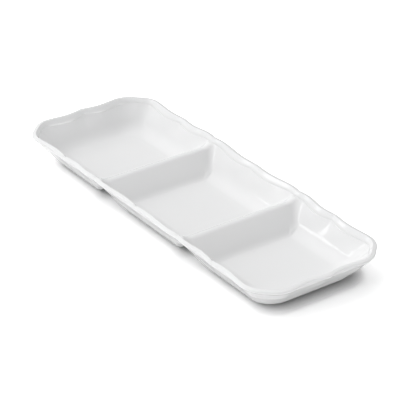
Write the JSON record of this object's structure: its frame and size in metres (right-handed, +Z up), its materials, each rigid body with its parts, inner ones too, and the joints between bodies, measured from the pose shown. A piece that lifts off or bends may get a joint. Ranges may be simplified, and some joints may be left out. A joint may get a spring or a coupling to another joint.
{
  "type": "divided serving bowl",
  "caption": "Long low glazed serving dish with side-by-side basins parted by rounded dividers under one scalloped, moulded rim, standing on unglazed foot rings.",
  "frame": {"origin": "middle of the dish, on the plane that its foot rings stand on", "axes": "+X along the row of basins, +Y across the dish, +Z up out of the basins"},
  "size_m": [0.3844, 0.1398, 0.0313],
  "materials": {
    "glaze": "gloss",
    "bisque": "matte"
  },
  "bodies": {
    "root": {"scalloped_rim": "glaze", "left_basin": "glaze", "middle_basin": "glaze", "right_basin": "glaze", "left_divider_ridge": "glaze", "right_divider_ridge": "glaze", "left_foot_ring": "bisque", "middle_foot_ring": "bisque", "right_foot_ring": "bisque"}
  },
  "joints": []
}
